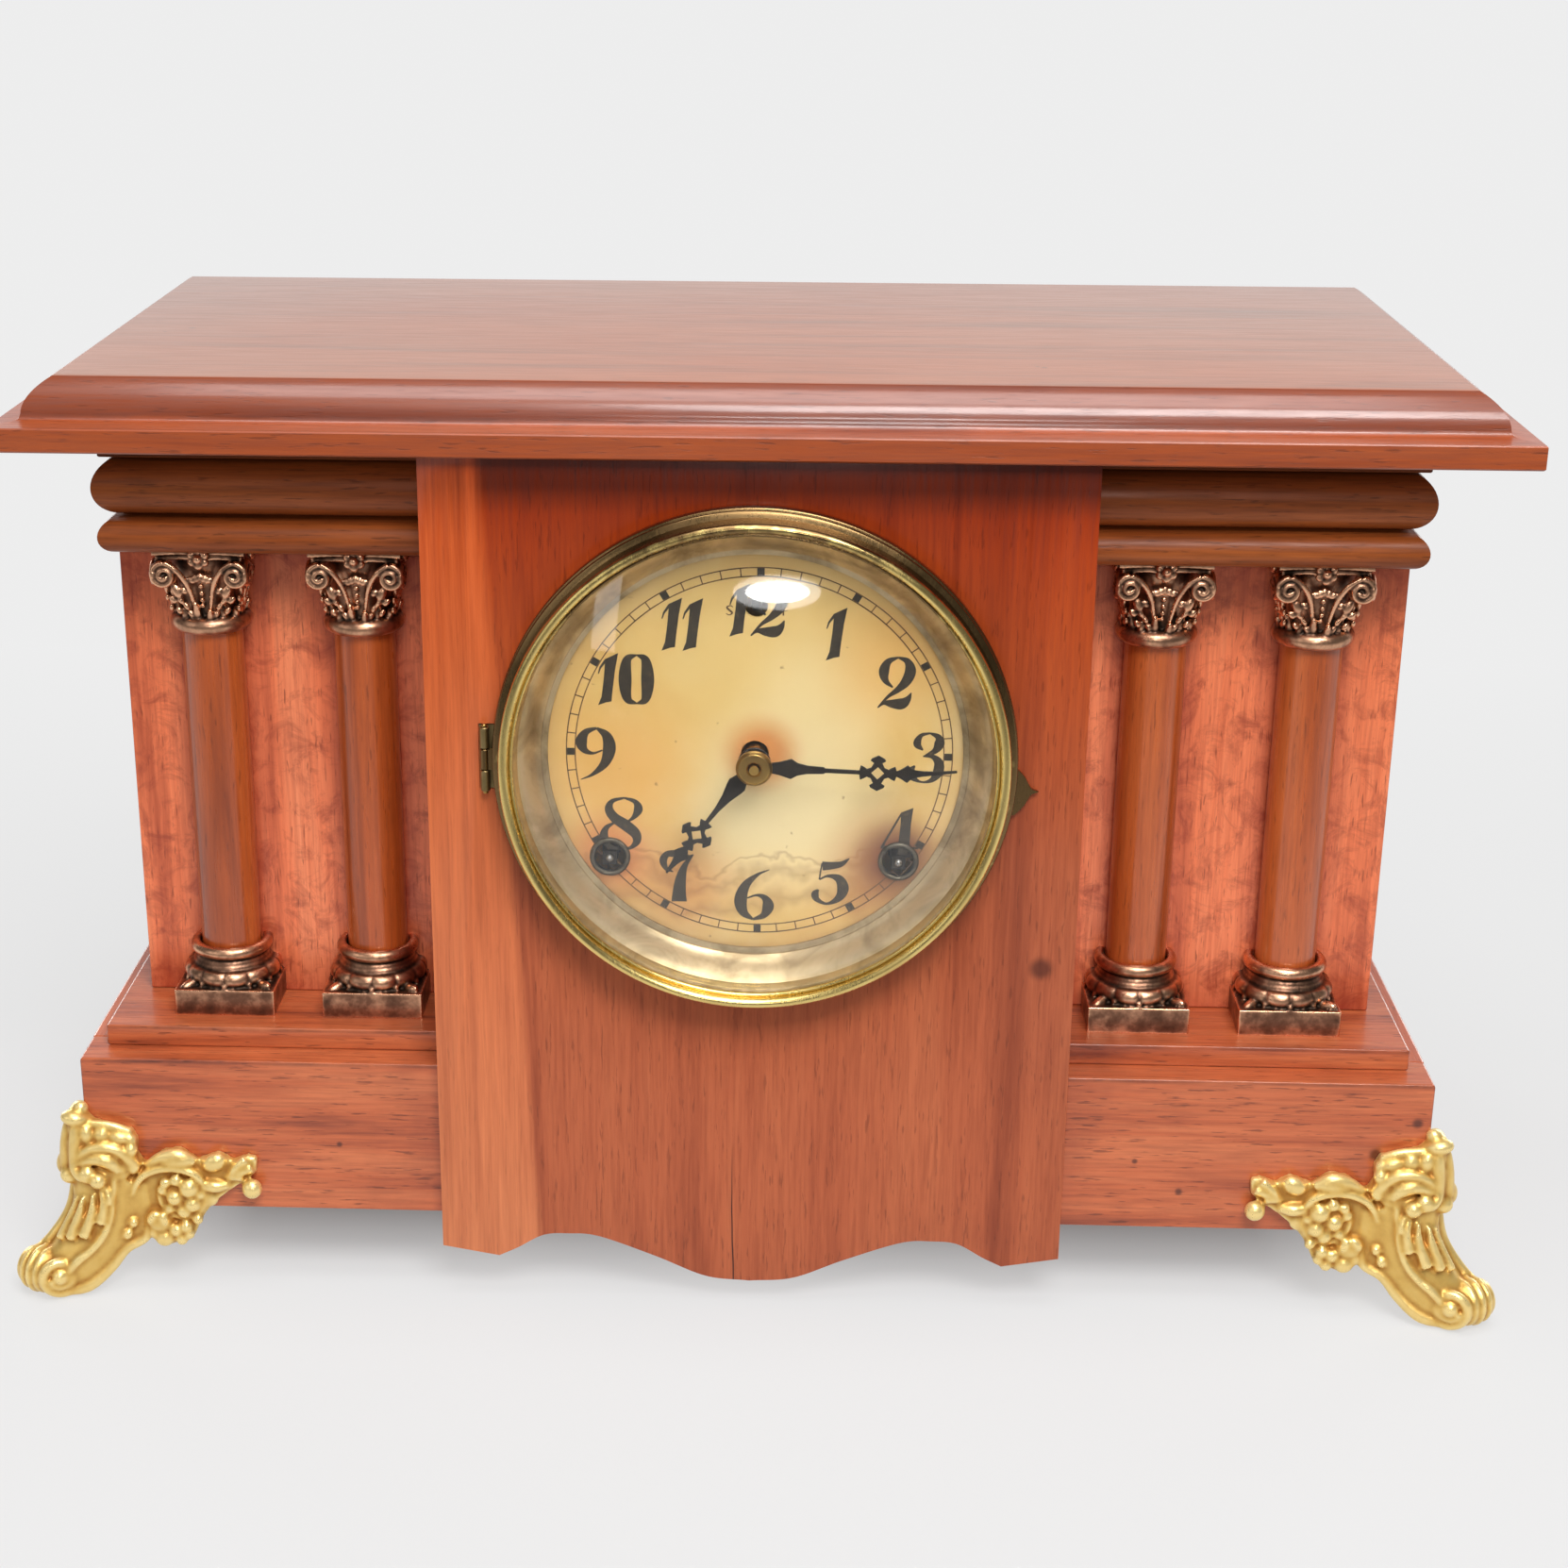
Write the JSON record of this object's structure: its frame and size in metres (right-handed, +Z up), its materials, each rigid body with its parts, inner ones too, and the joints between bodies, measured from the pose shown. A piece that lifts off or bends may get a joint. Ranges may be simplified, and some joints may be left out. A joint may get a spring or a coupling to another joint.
{
  "type": "column mantel clock",
  "caption": "Wooden mantel clock: long moulded top, engaged columns with cast capitals beside a centre panel, hinged convex-glass bezel over a cream dial, gilt scroll feet, striking movement.",
  "frame": {"origin": "floor level under the middle of the outer box", "axes": "+X to the clock's right as seen from the front, +Y to the back, +Z up"},
  "size_m": [0.47, 0.2372, 0.2961],
  "materials": {
    "case_wood": "satin varnish, worn",
    "panel_wood": "satin varnish, upright grain",
    "red_wood": "red stain under varnish",
    "dark_wood": "dark satin stain",
    "shaft_wood": "turned, glossy varnish",
    "copper_bronze": "antique copper-bronze wash on castings",
    "gilt": "gold paint on castings",
    "brass": "aged brass",
    "old_brass": "tarnished brass",
    "dial_cream": "aged cream dial, stained",
    "clear_glass": "convex clear glass",
    "black_steel": "blackened steel",
    "steel": "dull steel",
    "blue_steel": "blued spring steel",
    "tin": "dull tinplate"
  },
  "bodies": {
    "case": {"top_board": "case_wood", "frieze_left": "dark_wood", "frieze_right": "dark_wood", "side_left": "case_wood", "side_right": "case_wood", "front_board": "red_wood", "center_panel": "panel_wood", "base_front": "case_wood", "base_left": "case_wood", "base_right": "case_wood", "step_board": "case_wood", "back_board": "dark_wood", "foot_front_left": "gilt", "foot_front_right": "gilt", "foot_rear_left": "gilt", "foot_rear_right": "gilt", "column_1_base": "copper_bronze", "column_1_shaft": "shaft_wood", "column_1_capital": "copper_bronze", "column_2_base": "copper_bronze", "column_2_shaft": "shaft_wood", "column_2_capital": "copper_bronze", "column_3_base": "copper_bronze", "column_3_shaft": "shaft_wood", "column_3_capital": "copper_bronze", "column_4_base": "copper_bronze", "column_4_shaft": "shaft_wood", "column_4_capital": "copper_bronze", "hinge_leaf": "old_brass", "hinge_pin": "steel", "dial_plate": "dial_cream", "front_plate": "brass", "back_plate": "brass", "time_mainspring": "blue_steel", "strike_mainspring": "blue_steel", "gong": "blue_steel"},
    "door": {"bezel_ring": "brass", "bezel_glass": "clear_glass", "sight_ring": "old_brass"},
    "minute": {"center_wheel": "brass", "minute_hand": "black_steel", "hand_collet": "brass"},
    "hour": {"hour_wheel": "brass", "hour_hand": "black_steel"},
    "minute_work": {"minute_wheel": "brass"},
    "second": {"second_wheel": "brass"},
    "time_great": {"time_great_wheel": "brass"},
    "third": {"third_wheel": "brass"},
    "escape": {"escape_wheel": "brass"},
    "verge_rocker": {"verge": "steel"},
    "pendulum": {"pendulum_rod": "steel", "pendulum_bob": "brass"},
    "time_winder": {"time_arbor": "steel"},
    "strike_winder": {"strike_arbor": "steel"},
    "strike_great": {"strike_great_wheel": "brass"},
    "strike_pins": {"strike_pin_wheel": "brass"},
    "fly": {"strike_fly": "brass"},
    "hammer": {"strike_hammer": "steel"},
    "cover": {"back_cover": "tin"},
    "regulator": {"regulator_arbor": "steel"}
  },
  "joints": [
    {"name": "bezel_hinge", "type": "hinge", "parent": "case", "child": "door", "pos_m": [-0.0803, -0.09893, 0.185], "axis": [0, 0, -1], "range_deg": [0, 100]},
    {"name": "minute_turn", "type": "hinge", "parent": "case", "child": "minute", "pos_m": [0, -0.09653, 0.185], "axis": [0, 1, 0], "continuous": true},
    {"name": "hour_turn", "type": "hinge", "parent": "case", "child": "hour", "pos_m": [0, -0.09653, 0.185], "axis": [0, 1, 0], "continuous": true},
    {"name": "minute_wheel_turn", "type": "hinge", "parent": "case", "child": "minute_work", "pos_m": [0, -0.07653, 0.173], "axis": [0, 1, 0], "continuous": true},
    {"name": "second_wheel_turn", "type": "hinge", "parent": "case", "child": "second", "pos_m": [0.01958, -0.06653, 0.17587], "axis": [0, 1, 0], "continuous": true},
    {"name": "time_great_turn", "type": "hinge", "parent": "case", "child": "time_great", "pos_m": [0.0437, -0.06653, 0.1514], "axis": [0, 1, 0], "continuous": true},
    {"name": "third_wheel_turn", "type": "hinge", "parent": "case", "child": "third", "pos_m": [-0.00915, -0.06653, 0.20222], "axis": [0, 1, 0], "continuous": true},
    {"name": "escape_turn", "type": "hinge", "parent": "case", "child": "escape", "pos_m": [-0.00004, -0.06653, 0.218], "axis": [0, 1, 0], "continuous": true},
    {"name": "pendulum_swing", "type": "hinge", "parent": "case", "child": "pendulum", "pos_m": [-0.00004, -0.02053, 0.2355], "axis": [0, 1, 0], "range_deg": [-4, 4]},
    {"name": "verge_rock", "type": "hinge", "parent": "case", "child": "verge_rocker", "pos_m": [-0.00004, -0.03653, 0.2355], "axis": [0, 1, 0], "range_deg": [-4, 4]},
    {"name": "time_wind", "type": "hinge", "parent": "case", "child": "time_winder", "pos_m": [0.0437, -0.06653, 0.1514], "axis": [0, 1, 0], "range_deg": [0, 2520]},
    {"name": "strike_wind", "type": "hinge", "parent": "case", "child": "strike_winder", "pos_m": [-0.0437, -0.06653, 0.1514], "axis": [0, 1, 0], "range_deg": [0, 2520]},
    {"name": "strike_great_turn", "type": "hinge", "parent": "case", "child": "strike_great", "pos_m": [-0.0437, -0.06653, 0.1514], "axis": [0, 1, 0], "continuous": true},
    {"name": "strike_pin_turn", "type": "hinge", "parent": "case", "child": "strike_pins", "pos_m": [-0.03481, -0.06653, 0.18459], "axis": [0, 1, 0], "continuous": true},
    {"name": "strike_fly_turn", "type": "hinge", "parent": "case", "child": "fly", "pos_m": [-0.03835, -0.06653, 0.20468], "axis": [0, 1, 0], "continuous": true},
    {"name": "hammer_lift", "type": "hinge", "parent": "case", "child": "hammer", "pos_m": [-0.036, -0.02453, 0.165], "axis": [0, 1, 0], "range_deg": [0, 12]},
    {"name": "back_cover_swing", "type": "hinge", "parent": "case", "child": "cover", "pos_m": [0, 0.09587, 0.248], "axis": [0, 1, 0], "range_deg": [0, 120]},
    {"name": "regulator_turn", "type": "hinge", "parent": "case", "child": "regulator", "pos_m": [0, -0.07653, 0.231], "axis": [0, 1, 0], "range_deg": [-1080, 1080]}
  ],
  "couplings": [
    {"joint": "hour_turn", "follows": "minute_turn", "ratio": 0.083333},
    {"joint": "minute_wheel_turn", "follows": "minute_turn", "ratio": -0.33333},
    {"joint": "second_wheel_turn", "follows": "minute_turn", "ratio": -0.2},
    {"joint": "time_great_turn", "follows": "minute_turn", "ratio": 0.033333},
    {"joint": "third_wheel_turn", "follows": "minute_turn", "ratio": -12},
    {"joint": "escape_turn", "follows": "minute_turn", "ratio": 150},
    {"joint": "verge_rock", "follows": "pendulum_swing", "ratio": 1},
    {"joint": "strike_pin_turn", "follows": "strike_great_turn", "ratio": -6},
    {"joint": "strike_fly_turn", "follows": "strike_great_turn", "ratio": 30}
  ]
}
